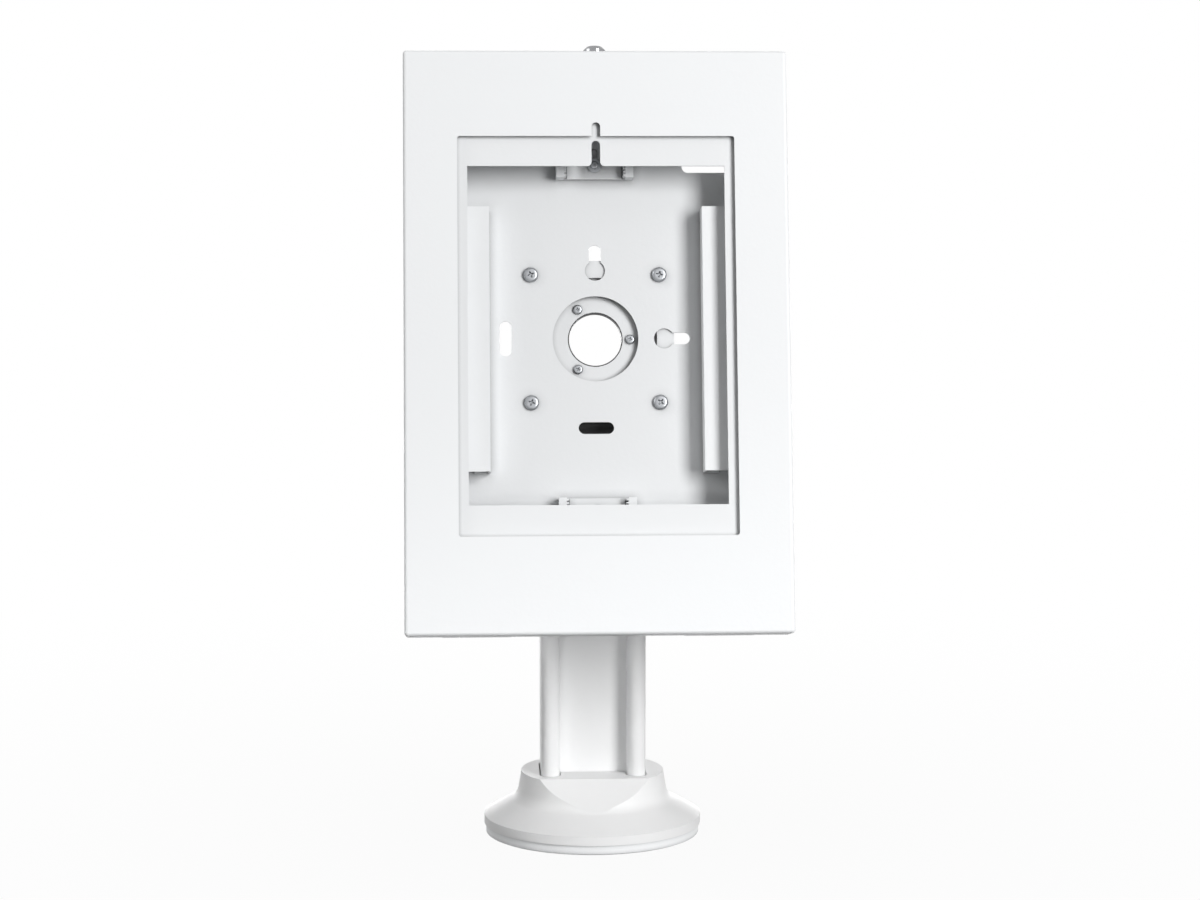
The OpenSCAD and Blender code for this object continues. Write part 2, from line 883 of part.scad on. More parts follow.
// Places of the rivets of one side support
module at_rivets(side) {
    for (z = [-rivet_z, rivet_z])
        for (x = [support_in + sheet + lip_w / 2, support_in + support_w - sheet - lip_w / 2])
            translate([side * x, 0, z - support_drop]) children();
}

// Places of the two track screws
module at_track_screws() {
    for (z = [-track_screw_at, track_screw_at]) translate([0, 0, z]) children();
}

// Lock catch hanging from the case's top wall, drawn as seen from the front
module catch_outline() {
    rect(catch_stem, catch_out, catch_low, case_top);
    rect(catch_in, catch_out, catch_low, catch_high);
}

module rear_case() {
    rivet_hole_d = rivet_d + 2 * press_gap;
    screw_hole_d = track_screw_d + 2 * press_gap;
    catch_front = catch_back - catch_t;
    notch_depth = lock_depth + lock_notch_half;
    color("white")
        in_enclosure() {
            difference() {
                translate([0, case_back, 0])
                    mirror([0, 1, 0]) tray(case_half, case_low, case_top, case_back - wall_front);
                through(case_depth - cut, case_back + cut) back_openings();
                translate([-lock_notch_half, wall_front - cut, case_top - sheet - cut])
                    cube([2 * lock_notch_half, notch_depth - wall_front + cut, sheet + 2 * cut]);
                for (side = [-1, 1])
                    at_rivets(side)
                        bar_y(case_depth - cut, case_back + cut, rivet_hole_d, rivet_hole_d);
                at_track_screws() bar_y(case_depth - cut, case_back + cut, screw_hole_d, screw_hole_d);
            }
            through(catch_front, catch_back) catch_outline();
            translate([catch_stem, catch_front, case_top - sheet])
                cube([catch_out - catch_stem, wall_front + cut - catch_front, sheet]);
        }
}

// Lipped channel on the back plate that the tablet's back rests on
module side_support(side) {
    half = support_len / 2;
    out = support_in + support_w;
    hole_d = rivet_d + 2 * press_gap;
    color("white")
        in_enclosure()
            difference() {
                mirror([side < 0 ? 1 : 0, 0, 0])
                    translate([0, 0, -half - support_drop])
                        linear_extrude(support_len) {
                            rect(support_in, out, support_front, support_front + sheet);
                            rect(support_in, support_in + sheet, support_front, case_depth);
                            rect(out - sheet, out, support_front, case_depth);
                            rect(support_in, support_in + sheet + lip_w, case_depth - sheet, case_depth);
                            rect(out - sheet - lip_w, out, case_depth - sheet, case_depth);
                        }
                at_rivets(side) bar_y(case_depth - sheet - cut, case_depth + cut, hole_d, hole_d);
            }
}

module side_support_left() {
    side_support(-1);
}

module side_support_right() {
    side_support(1);
}

module support_rivets() {
    lip = case_depth - sheet;
    color("silver")
        in_enclosure()
            for (side = [-1, 1])
                at_rivets(side) {
                    bar_y(lip - rivet_head_h, lip, rivet_crown_d, rivet_head_d);
                    bar_y(lip, case_back + rivet_head_h, rivet_d, rivet_d);
                    bar_y(case_back, case_back + rivet_head_h, rivet_head_d, rivet_crown_d);
                }
}

// Outline of one toothed rail, with its teeth towards the middle
module toothed_rail() {
    inner = track_half - tooth_rail_w;
    count = floor(track_len / tooth_pitch);
    teeth = [
        for (i = [0 : count - 1])
            for (corner = tooth_corners)
                [inner + corner[1] * tooth_h, track_in + (i + corner[0]) * tooth_pitch]
    ];
    polygon(concat(
        [[track_half, track_in]],
        teeth,
        [[inner + tooth_h, track_in + track_len], [track_half, track_in + track_len]]
    ));
}

// Toothed guide of one tablet stop, above the hub axis
module track() {
    hole_d = track_screw_d + 2 * press_gap;
    difference() {
        union() {
            through(case_depth - sheet, case_depth)
                rect(-track_half, track_half, track_in, track_in + track_len);
            for (side = [0, 1])
                mirror([side, 0, 0]) through(case_depth - track_rise, case_depth) toothed_rail();
        }
        at_track_screws() bar_y(case_depth - sheet - cut, case_depth + cut, hole_d, hole_d);
    }
}

// Sliding stop for one end of the tablet, above the hub axis
module slider() {
    slot_len = slide_in + slide_out + track_screw_d + 2 * slide_gap;
    difference() {
        union() {
            through(slider_front, slider_back)
                rect(-slider_half, slider_half, track_in, stop_at + stop_t);
            through(stop_front, slider_back)
                rect(-slider_half, slider_half, stop_at, stop_at + stop_t);
        }
        translate([0, 0, track_screw_at + (slide_in - slide_out) / 2])
            through(slider_front - cut, slider_back + cut)
                slot(slot_len, track_screw_d + 2 * slide_gap, true);
    }
}

// Foam pad on the tablet side of one stop, above the hub axis
module stop_pad() {
    through(stop_front + thread_gap, slider_front)
        rect(-slider_half + cut, slider_half - cut, stop_at - stop_pad_t, stop_at);
}

module top_track() {
    color("white") in_enclosure() track();
}

module bottom_track() {
    color("white") in_enclosure() mirror([0, 0, 1]) track();
}

module track_screws() {
    seat = slider_front - thread_gap;
    hole_d = track_screw_d + 2 * press_gap;
    color("silver")
        in_enclosure()
            at_track_screws() {
                translate([0, seat - track_washer_t, 0])
                    cross_screw(
                        track_head_d,
                        track_head_h,
                        track_screw_d,
                        case_back + cut - seat + track_washer_t
                    );
                difference() {
                    bar_y(seat - track_washer_t, seat, track_washer_d, track_washer_d);
                    bar_y(seat - track_washer_t - cut, seat + cut, hole_d, hole_d);
                }
            }
}

module top_slider() {
    color("dimgray") in_enclosure() slider();
}

module bottom_slider() {
    color("dimgray") in_enclosure() mirror([0, 0, 1]) slider();
}

module top_pad() {
    color("black") in_enclosure() stop_pad();
}

module bottom_pad() {
    color("black") in_enclosure() mirror([0, 0, 1]) stop_pad();
}

// Places of the two lower hinges, with their axis along X at the origin
module at_hinges() {
    for (side = [-1, 1]) translate([side * hinge_x, hinge_depth, hinge_z]) children();
}

module hinge_leaves() {
    half = middle_knuckle / 2 - slide_gap / 2;
    leaf_front = case_back - hinge_depth;
    color("white")
        in_enclosure()
            at_hinges()
                difference() {
                    union() {
                        bar_x(-half, half, 2 * knuckle_r);
                        across(-half, half) rect(leaf_front, leaf_front + hinge_gap + sheet, 0, leaf_h);
                    }
                    bar_x(-half - cut, half + cut, pin_d + 2 * run_gap);
                }
}

module cover_hinge_pins() {
    color("silver") in_enclosure() at_hinges() bar_x(-hinge_len / 2, hinge_len / 2, pin_d);
}

// Places of the studs that carry the inner frame
module at_studs() {
    for (x = [-stud_x, stud_x])
        for (z = [-stud_z, 0, stud_z])
            translate([x, 0, z]) children();
}

// Front-camera notch with a round end at the given height
module notch(top) {
    end = top - notch_w / 2;
    rect(-notch_w / 2, notch_w / 2, 0, end);
    translate([0, end]) circle(d = notch_w);
}

// Window with the front-camera notch above it
module window() {
    half = window_w / 2;
    round_rect(-half, half, -window_bottom, window_top, window_r);
    notch(window_top + window_notch);
}

module front_cover() {
    lock_hole_d = lock_body_d + 2 * press_gap;
    outer = hinge_len / 2;
    inner = middle_knuckle / 2 + slide_gap / 2;
    color("white")
        in_enclosure() {
            difference() {
                tray(cover_half, cover_bottom, cover_top, cover_depth);
                through(-cut, sheet + cut) window();
                translate([0, lock_depth, cover_top - sheet - cut])
                    cylinder(h = sheet + 2 * cut, d = lock_hole_d);
            }
            at_studs() bar_y(sheet / 2, frame_back + nut_t, stud_d, stud_d);
            at_hinges()
                for (side = [0, 1])
                    mirror([side, 0, 0])
                        difference() {
                            union() {
                                bar_x(inner, outer, 2 * knuckle_r);
                                across(inner, outer)
                                    rect(cover_depth - hinge_depth - cut, 0, -knuckle_r, sheet - knuckle_r);
                            }
                            bar_x(inner - cut, outer + cut, pin_d + 2 * press_gap);
                        }
        }
}

// Flared mouth of the inner frame's camera notch
module notch_mouth() {
    half = notch_w / 2;
    difference() {
        rect(-half - notch_flare, half + notch_flare, opening_top - cut, opening_top + notch_flare);
        for (side = [-1, 1])
            translate([side * (half + notch_flare), opening_top + notch_flare]) circle(notch_flare);
    }
}

module inner_frame() {
    half = opening_w / 2;
    hole_d = stud_d + 4 * thread_gap;
    color("white")
        in_enclosure()
            difference() {
                through(frame_setback, frame_back)
                    round_rect(-frame_half, frame_half, -frame_low, frame_top, bend_r + sheet);
                through(frame_setback - cut, frame_back + cut) {
                    rect(-half, half, -opening_bottom, opening_top);
                    notch(opening_top + opening_notch);
                    notch_mouth();
                }
                at_studs() bar_y(frame_setback - cut, frame_back + cut, hole_d, hole_d);
            }
}

module frame_spacers() {
    hole_d = stud_d + 2 * press_gap;
    color("white")
        in_enclosure()
            at_studs()
                difference() {
                    bar_y(sheet, frame_setback, spacer_d, spacer_d);
                    bar_y(sheet - cut, frame_setback + cut, hole_d, hole_d);
                }
}

module frame_nuts() {
    hole_d = stud_d + 2 * press_gap;
    color("silver")
        in_enclosure()
            at_studs()
                difference() {
                    translate([0, frame_back, 0])
                        rotate([-90, 0, 0])
                            cylinder(h = nut_t, d = nut_across / cos(30), $fn = 6);
                    bar_y(frame_back - cut, frame_back + nut_t + cut, hole_d, hole_d);
                }
}

// Places its children on the lock's axis, with the cover's top edge at height zero
module at_lock() {
    in_enclosure() translate([0, lock_depth, cover_top]) children();
}

module lock_barrel() {
    low = -sheet - lock_body_len;
    color("silver")
        at_lock()
            difference() {
                union() {
                    cylinder(h = lock_head_h - lock_bevel, d = lock_head_d);
                    translate([0, 0, lock_head_h - lock_bevel])
                        cylinder(h = lock_bevel, d1 = lock_head_d, d2 = lock_head_d - 2 * lock_bevel);
                    translate([0, 0, low]) cylinder(h = -low, d = lock_body_d);
                }
                translate([0, 0, low - cut])
                    cylinder(h = lock_head_h - low + 2 * cut, d = plug_d + 2 * run_gap);
            }
}

module lock_nut() {
    color("silver")
        at_lock()
            translate([0, 0, -sheet - lock_nut_t])
                difference() {
                    cylinder(h = lock_nut_t, d = lock_nut_across / cos(30), $fn = 6);
                    translate([0, 0, -cut])
                        cylinder(h = lock_nut_t + 2 * cut, d = lock_body_d + 2 * press_gap);
                }
}

module lock_plug() {
    low = -sheet - lock_body_len - run_gap;
    color("gainsboro")
        at_lock()
            difference() {
                union() {
                    translate([0, 0, low]) cylinder(h = lock_head_h - low, d = plug_d);
                    translate([-cam_drive / 2, -cam_drive / 2, low - cam_t])
                        cube([cam_drive, cam_drive, cam_t]);
                }
                translate([-keyway_w / 2, -keyway_len / 2, 0])
                    cube([keyway_w, keyway_len, lock_head_h + cut]);
                translate([0, 0, low - cam_t - cut])
                    cylinder(h = lock_body_len / 2, d = cam_screw_d + 2 * press_gap);
            }
}

module lock_cam() {
    drive = cam_drive + 2 * press_gap;
    color("silver")
        in_enclosure()
            translate([0, lock_depth, cam_z])
                linear_extrude(cam_t)
                    difference() {
                        intersection() {
                            circle(cam_reach);
                            union() {
                                circle(d = lock_body_d);
                                rect(-cam_half, cam_half, 0, cam_reach);
                            }
                        }
                        square(drive, center = true);
                    }
}

module cam_screw() {
    grip = lock_body_len / 3;
    color("silver")
        in_enclosure()
            translate([0, lock_depth, cam_z]) {
                translate([0, 0, -cam_screw_head_h]) cylinder(h = cam_screw_head_h, d = cam_screw_head_d);
                cylinder(h = grip, d = cam_screw_d);
            }
}

base_pad();
base_plate();
base_cover();
column();
column_screws();
column_cap();
cable_cover();
hinge_block();
hinge_block_screws();
tilt_axle();
axle_washers();
axle_nut();
tilt_bracket();
hub_sleeve();
hub_washers();
hub_lock_ring();
vesa_plate();
hub_screws();
vesa_screws();
rear_case();
side_support_left();
side_support_right();
support_rivets();
top_track();
bottom_track();
track_screws();
top_slider();
bottom_slider();
top_pad();
bottom_pad();
hinge_leaves();
front_cover();
cover_hinge_pins();
inner_frame();
frame_spacers();
frame_nuts();
lock_barrel();
lock_nut();
lock_plug();
lock_cam();
cam_screw();
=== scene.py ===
import json
from math import cos, pi, radians, sin

import bmesh
import bpy
from mathutils import Matrix, Vector


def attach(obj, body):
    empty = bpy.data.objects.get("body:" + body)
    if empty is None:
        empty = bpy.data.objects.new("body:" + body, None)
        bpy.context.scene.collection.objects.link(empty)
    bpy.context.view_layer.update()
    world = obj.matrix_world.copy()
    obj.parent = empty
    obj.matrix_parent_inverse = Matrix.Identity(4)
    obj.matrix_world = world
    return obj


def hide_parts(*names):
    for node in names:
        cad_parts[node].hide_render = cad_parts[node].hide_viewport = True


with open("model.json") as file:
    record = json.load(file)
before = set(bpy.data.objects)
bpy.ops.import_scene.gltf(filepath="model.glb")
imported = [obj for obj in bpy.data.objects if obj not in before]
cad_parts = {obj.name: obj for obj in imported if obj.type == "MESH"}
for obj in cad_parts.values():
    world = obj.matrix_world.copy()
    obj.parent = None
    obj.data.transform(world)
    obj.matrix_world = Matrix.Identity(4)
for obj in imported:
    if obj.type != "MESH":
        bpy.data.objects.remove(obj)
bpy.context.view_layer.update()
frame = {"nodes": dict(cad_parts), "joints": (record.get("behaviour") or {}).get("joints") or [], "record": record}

# The viewpoint: a long lens in front of the stand, a little to the left of it and
# above its middle, looking slightly down, as the product was photographed.
sight = bpy.data.cameras.new("sight")
sight.sensor_width = 36.0
sight.lens = 84.06
sight.clip_start = 0.1
sight.clip_end = 50.0
camera = bpy.data.objects.new("camera", sight)
camera.location = (-0.0776, -1.6717, 0.4044)
camera.rotation_euler = (radians(90 - 5.87), 0, radians(-2.82))
bpy.context.scene.collection.objects.link(camera)
bpy.context.scene.camera = camera


# The anti-slip pad: a thin sheet of cellular rubber, punched from a roll and glued under
# the foot plate, with four clearance holes for the counter bolts.
class Shade:
    """A socket of a material's nodes; arithmetic on it adds Math nodes."""

    def __init__(self, tree, socket=None):
        self.tree = tree
        self.socket = socket

    def node(self, kind, settings, inputs, output=0):
        """Adds one node, sets its settings first, then the values or links of its sockets."""
        made = self.tree.nodes.new("ShaderNode" + kind)
        for name, value in settings.items():
            if name == "stops":
                ramp = made.color_ramp.elements
                while len(ramp) < len(value):
                    ramp.new(1.0)
                for stop, (place, level) in zip(ramp, value):
                    stop.position = place
                    stop.color = (level, level, level, 1.0)
            else:
                setattr(made, name, value)
        for name, value in inputs.items():
            if isinstance(value, Shade):
                self.tree.links.new(value.socket, made.inputs[name])
            else:
                made.inputs[name].default_value = value
        return Shade(self.tree, made.outputs[output] if made.outputs else None)

    def math(self, operation, first, second):
        return self.node("Math", {"operation": operation}, {0: first, 1: second})

    def __add__(self, other):
        return self.math("ADD", self, other)

    __radd__ = __add__

    def __mul__(self, other):
        return self.math("MULTIPLY", self, other)

    __rmul__ = __mul__

    def __sub__(self, other):
        return self.math("SUBTRACT", self, other)

    def __rsub__(self, other):
        return self.math("SUBTRACT", other, self)

    def stretched(self, x, y, z):
        """Object coordinates with each axis scaled."""
        return self.node("Mapping", {}, {"Vector": self, "Scale": (x, y, z)})

    def grain(self, scale, detail=2.0, roughness=0.5):
        """Noise between 0 and 1 with about scale features a metre."""
        return self.node(
            "TexNoise",
            {},
            {"Vector": self, "Scale": scale, "Detail": detail, "Roughness": roughness},
        )

    def ramp(self, *stops):
        """The value bent through grey stops of (place, level)."""
        return self.node("ValToRGB", {"stops": stops}, {"Fac": self})

    def tint(self, dark, light):
        """A colour between two, by this value."""
        settings = {"data_type": "RGBA"}
        return self.node("Mix", settings, {0: self, 6: (*dark, 1.0), 7: (*light, 1.0)}, 2)

    def relief(self, depth):
        """A bumped normal, with this value times depth metres as the height."""
        return self.node("Bump", {}, {"Strength": 1.0, "Distance": depth, "Height": self})


def new_finish(name):
    """An empty material and its Object coordinates."""
    finish = bpy.data.materials.new(name)
    finish.use_nodes = True
    finish.node_tree.nodes.clear()
    shade = Shade(finish.node_tree)
    return finish, shade.node("TexCoord", {}, {}, "Object")


def close_finish(finish, place, sockets):
    """Ends a material in one Principled shader with these sockets."""
    surface = place.node("BsdfPrincipled", {}, sockets)
    place.node("OutputMaterial", {}, {"Surface": surface})


def paint(finish, *names):
    """Gives CAD nodes a finish."""
    for name in names:
        solid = frame["nodes"][name]
        if not solid.material_slots:
            solid.data.materials.append(finish)
        solid.material_slots[0].material = finish


rubber, place = new_finish("pale_rubber")
cells = place.grain(1500, detail=3.0)
close_finish(rubber, place, {
    "Base Color": place.grain(60).tint((0.55, 0.55, 0.55), (0.64, 0.64, 0.64)),
    "Roughness": 0.70 + 0.2 * cells,
    "Normal": cells.relief(depth=0.00012),
})
paint(rubber, "base_pad")


# The foot plate: a laser-cut disc of steel under the cover, powder-coated white, with four
# holes for the counter bolts and four countersunk ones for the column's screws.
body_of = {
    node: body
    for body, nodes in frame["record"]["behaviour"]["bodies"].items()
    for node in nodes
}
slot_of = {row["node"]: row["material_slot"] for row in frame["record"]["subparts"]}
MERGE = 1e-6
FLAT = radians(0.4)
EDGE_ANGLE = radians(32)
CREASE_ANGLE = radians(50)


def place_piece(shape, name, finish, body, slot, *nodes):
    """Makes a bmesh an object that rides on a body and stands for CAD nodes."""
    mesh = bpy.data.meshes.new(name)
    for face in shape.faces:
        face.smooth = True
        face.material_index = 0
    shape.to_mesh(mesh)
    shape.free()
    if "custom_normal" in mesh.attributes:
        mesh.attributes.remove(mesh.attributes["custom_normal"])
    mesh.set_sharp_from_angle(angle=CREASE_ANGLE)
    mesh.materials.clear()
    mesh.materials.append(finish)
    piece = bpy.data.objects.new(name, mesh)
    bpy.context.scene.collection.objects.link(piece)
    flats = piece.modifiers.new("flats", "WEIGHTED_NORMAL")
    flats.keep_sharp = True
    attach(piece, body)
    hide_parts(*nodes)
    return piece


def soft_copy(node, finish, edge_r, segments=2, least=EDGE_ANGLE):
    """A copy of a CAD node with its sharp edges rounded, which stands for the node."""
    shape = bmesh.new()
    shape.from_mesh(frame["nodes"][node].data)
    bmesh.ops.remove_doubles(shape, verts=shape.verts, dist=MERGE)
    bmesh.ops.dissolve_limit(
        shape, angle_limit=FLAT, verts=shape.verts, edges=shape.edges, delimit=set()
    )
    sharp = [e for e in shape.edges if e.is_manifold and e.calc_face_angle() > least]
    bmesh.ops.bevel(
        shape,
        geom=sharp,
        offset=edge_r,
        offset_type="OFFSET",
        affect="EDGES",
        segments=segments,
        profile=0.5,
        clamp_overlap=True,
        material=-1,
    )
    place_piece(shape, node + "_finished", finish, body_of[node], slot_of[node], node)


def powder_coat(name, white, shade_reach=0.003):
    """Baked polyester powder: faint orange peel, a satin sheen, and painted shade that darkens its colour within
    reach of other surfaces.
    """
    finish, place = new_finish(name)
    waves = place.grain(420)
    fine = place.grain(2600)
    drift = place.grain(9, detail=3.0)
    # Painted shade: where other surfaces lie close, the ambient-occlusion value turns the base colour towards a
    # darker grey, as shade falls in corners and seams.
    open_air = place.node("AmbientOcclusion", {"samples": 8}, {"Distance": shade_reach}, "AO")
    unshaded_share = (open_air - 0.04 * drift).ramp((0.30, 0.0), (0.96, 1.0))
    painted_shade_colour = tuple(0.45 * level for level in white)
    close_finish(finish, place, {
        "Base Color": unshaded_share.tint(painted_shade_colour, white),
        "Roughness": 0.42 + 0.12 * (fine - 0.5) + 0.06 * (drift - 0.5),
        "IOR": 1.5,
        "Normal": (waves + 0.35 * fine).relief(depth=0.00005),
    })
    return finish


steel_white = powder_coat("white_powder_coat", white=(0.870, 0.882, 0.892))
soft_copy("base_plate", steel_white, edge_r=0.0006)


# The foot cover: a flared moulding in white plastic that slides down over the column and
# hides the bolts; its two flats run off smoothly into the concave flank.
plastic, place = new_finish("moulded_plastic")
spark = place.grain(3200)
flow = place.grain(22, detail=4.0)
close_finish(plastic, place, {
    "Base Color": flow.tint((0.795, 0.797, 0.799), (0.818, 0.819, 0.820)),
    "Roughness": 0.46 + 0.14 * spark,
    "IOR": 1.5,
    "Normal": (spark + 0.15 * flow).relief(depth=0.00004),
})
soft_copy("base_cover", plastic, edge_r=0.0006, segments=3, least=radians(24))


# The column: an aluminium extrusion with two round rails joined by a web, powder-coated
# white; the die leaves faint lines along it.
extrusion, place = new_finish("coated_extrusion")
lines = place.stretched(1.0, 1.0, 0.004).grain(1400)
waves = place.grain(420)
mottle = place.grain(14, detail=3.0)
close_finish(extrusion, place, {
    "Base Color": mottle.tint((0.765, 0.768, 0.771), (0.787, 0.789, 0.792)),
    "Roughness": 0.40 + 0.10 * lines,
    "IOR": 1.5,
    "Normal": (0.6 * lines + 0.5 * waves).relief(depth=0.00004),
})
soft_copy("column", extrusion, edge_r=0.0003)


# The column's cap and the strip that closes its cable channel: both moulded or extruded in
# white plastic, the cap plugged into the rails and the strip clipped between them.
soft_copy("column_cap", plastic, edge_r=0.0005)
soft_copy("cable_cover", plastic, edge_r=0.0003)


# The hinge block: a die-cast block in black epoxy coating, bolted in the column's front
# channel; its barrel carries the tilt axle.
black_cast, place = new_finish("black_casting")
sand = place.grain(1100, detail=4.0, roughness=0.6)
mottle = place.grain(120, detail=3.0)
close_finish(black_cast, place, {
    "Base Color": mottle.tint((0.010, 0.010, 0.011), (0.019, 0.019, 0.020)),
    "Roughness": 0.48 + 0.22 * sand,
    "Normal": sand.relief(depth=0.00008),
})
soft_copy("hinge_block", black_cast, edge_r=0.0006)


# The tilt axle with its spring washers and nut, and the screws of the column and of the
# hinge block: turned or cold-headed steel with a clear zinc plating.
zinc, place = new_finish("zinc_plating")
bloom = place.grain(340, detail=4.0, roughness=0.6)
brush = place.stretched(1.0, 0.08, 1.0).grain(2600)
close_finish(zinc, place, {
    "Base Color": bloom.tint((0.270, 0.280, 0.295), (0.385, 0.395, 0.410)),
    "Metallic": 1.0,
    "Roughness": 0.26 + 0.14 * bloom + 0.08 * brush,
    "Normal": brush.relief(depth=0.00001),
})
for node in ("tilt_axle", "axle_washers", "axle_nut"):
    soft_copy(node, zinc, edge_r=0.0004)
paint(zinc, "column_screws", "hinge_block_screws")


# The tilt bracket: a bent and powder-coated steel plate whose two ears pivot on the axle,
# with the bore that the hub turns in.
soft_copy("tilt_bracket", steel_white, edge_r=0.0004)


# The hub: a turned sleeve, phosphated black, whose flange and spigot carry the mounting
# plate, two friction washers of white polymer and a slotted zinc-plated ring that holds it.
polymer, place = new_finish("white_polymer")
haze = place.grain(180, detail=3.0)
close_finish(polymer, place, {
    "Base Color": haze.tint((0.74, 0.73, 0.68), (0.80, 0.79, 0.74)),
    "Roughness": 0.42 + 0.15 * haze,
    "Normal": place.grain(1800).relief(depth=0.00003),
})
paint(polymer, "hub_washers")
phosphate, place = new_finish("black_phosphate")
crystal = place.grain(1600, detail=3.0, roughness=0.6)
mottle = place.grain(150, detail=3.0)
close_finish(phosphate, place, {
    "Base Color": mottle.tint((0.035, 0.035, 0.037), (0.060, 0.060, 0.062)),
    "Metallic": 0.6,
    "Roughness": 0.42 + 0.20 * crystal,
    "Normal": crystal.relief(depth=0.00003),
})
soft_copy("hub_sleeve", phosphate, edge_r=0.0003)
soft_copy("hub_lock_ring", zinc, edge_r=0.0004)


# The mounting plate: a pressed square of steel, dished in the middle, powder-coated, and
# screwed to the case on the 75 mm square and to the hub by three small screws.
# The case and the mounting plate get a darker white than the cover's: painted shade for the inside of the case.
CASE_LEVEL = (0.775, 0.786, 0.796)
# Its painted shade reaches further, darkening the dished floor next to the edge of the case's hole.
plate_white = powder_coat("plate_powder_coat", CASE_LEVEL, shade_reach=0.0044)
soft_copy("vesa_plate", plate_white, edge_r=0.0003)


# Its screws: cold-headed pan heads with a cross recess and a rolled thread, zinc-plated,
# four large ones into the mounting plate and three small ones into the hub's flange.
turn = next(j for j in frame["joints"] if j["name"] == "enclosure_turn")
out = Vector(turn["axis"])
lean = Matrix.Translation(turn["pos_m"]) @ out.to_track_quat("-Y", "Z").to_matrix().to_4x4()
FULL_TURN = 2 * pi
ROUND = 40
DOME_STEPS = 5
# Shares of the head's radius or height, of the thread's pitch and of the recess's wings
TOP_SHARE, DOME_SHARE = 0.62, 0.6
THREAD_DEPTH, THREAD_ROOT, THREAD_CREST, POINT_SHARE = 0.45, 0.35, 0.85, 0.8
WING_REACH, WING_HALF, WING_ROOT = 0.44, 0.085, 1.5
RECESS_TAPER, RECESS_DEPTH = 0.55, 0.62


def solid_boxes(node):
    """Low and high corner of each separate solid of a CAD node, along the enclosure's axes."""
    shape = bmesh.new()
    shape.from_mesh(frame["nodes"][node].data)
    bmesh.ops.remove_doubles(shape, verts=shape.verts, dist=MERGE)
    upright = lean.inverted()
    boxes = []
    for start in shape.verts:
        if start.tag:
            continue
        start.tag = True
        solid = [start]
        for vert in solid:
            for edge in vert.link_edges:
                other = edge.other_vert(vert)
                if not other.tag:
                    other.tag = True
                    solid.append(other)
        spots = [upright @ vert.co for vert in solid]
        boxes.append((Vector(map(min, *spots)), Vector(map(max, *spots))))
    shape.free()
    return boxes


def spun(shape, outline):
    """Spins an outline of (radius, depth) about the depth axis; returns its open top rim."""
    line = [shape.verts.new((radius, depth, 0)) for radius, depth in outline]
    edges = [shape.edges.new(pair) for pair in zip(line, line[1:])]
    bmesh.ops.spin(
        shape,
        geom=line + edges,
        cent=(0, 0, 0),
        axis=(0, 1, 0),
        dvec=(0, 0, 0),
        angle=FULL_TURN,
        steps=ROUND,
        use_merge=True,
    )
    bmesh.ops.remove_doubles(shape, verts=shape.verts, dist=MERGE)
    return [edge for edge in shape.edges if edge.is_boundary]


def screw(head_r, head_h, shank_r, length, pitch):
    """A pan-head screw along +Y, with the top of its head at the origin."""
    shape = bmesh.new()
    top_r = TOP_SHARE * head_r
    dome_h = DOME_SHARE * head_h
    root_r = shank_r - THREAD_DEPTH * pitch
    outline = []
    for step in range(DOME_STEPS + 1):
        swing = radians(90 - 90 * step / DOME_STEPS)
        outline.append((top_r + (head_r - top_r) * cos(swing), dome_h * (1 - sin(swing))))
    outline += [(head_r, head_h), (shank_r, head_h)]
    for ridge in range(int((length - head_h) / pitch)):
        depth = head_h + ridge * pitch
        outline.append((root_r, depth + THREAD_ROOT * pitch))
        outline.append((shank_r, depth + THREAD_CREST * pitch))
    outline += [(POINT_SHARE * root_r, length), (0, length)]
    rim = spun(shape, outline)

    # The recess: a cross with tapered wings, sunk into the head's flat top
    wing, half = WING_REACH * head_r, WING_HALF * head_r
    root = WING_ROOT * half
    corners = []
    for quarter in range(4):
        wheel = Matrix.Rotation(quarter * FULL_TURN / 4, 3, "Y")
        for x, z in ((wing, -half), (wing, half), (root, root)):
            corners.append(shape.verts.new(wheel @ Vector((x, 0, -z))))
    cross = [shape.edges.new(pair) for pair in zip(corners, corners[1:] + corners[:1])]
    bmesh.ops.triangle_fill(shape, edges=rim + cross, use_beauty=True)
    sunk = bmesh.ops.extrude_edge_only(shape, edges=cross)["geom"]
    bottom = [item for item in sunk if isinstance(item, bmesh.types.BMVert)]
    bmesh.ops.scale(shape, vec=(RECESS_TAPER, 1, RECESS_TAPER), verts=bottom)
    bmesh.ops.translate(shape, vec=(0, RECESS_DEPTH * head_h, 0), verts=bottom)
    loop = [item for item in sunk if isinstance(item, bmesh.types.BMEdge)]
    bmesh.ops.triangle_fill(shape, edges=loop, use_beauty=True)
    bmesh.ops.recalc_face_normals(shape, faces=shape.faces)
    return shape


def set_in(whole, shape, spot, roll=0.0):
    """Adds a shape to a bmesh at a spot of the enclosure, rolled about its own axis."""
    seat = lean @ Matrix.Translation(spot) @ Matrix.Rotation(roll, 4, "Y")
    bmesh.ops.transform(shape, matrix=seat, verts=shape.verts)
    carrier = bpy.data.meshes.new("carrier")
    shape.to_mesh(carrier)
    shape.free()
    whole.from_mesh(carrier)
    bpy.data.meshes.remove(carrier)


def head_spot(low, high):
    """Middle of a solid's front face, and its largest radius."""
    return Vector(((low.x + high.x) / 2, low.y, (low.z + high.z) / 2)), (high.x - low.x) / 2


def screws(node, head_h, shank_r, pitch, rolls):
    """Detailed screws in the places of a CAD node's plain ones."""
    whole = bmesh.new()
    for (low, high), roll in zip(solid_boxes(node), rolls):
        spot, head_r = head_spot(low, high)
        set_in(whole, screw(head_r, head_h, shank_r, high.y - low.y, pitch), spot, radians(roll))
    place_piece(whole, node + "_finished", zinc, body_of[node], slot_of[node], node)


screws("vesa_screws", head_h=0.0026, shank_r=0.0020, pitch=0.0007, rolls=(20, 68, 41, 12))
screws("hub_screws", head_h=0.0019, shank_r=0.0015, pitch=0.0005, rolls=(33, 75, 8))


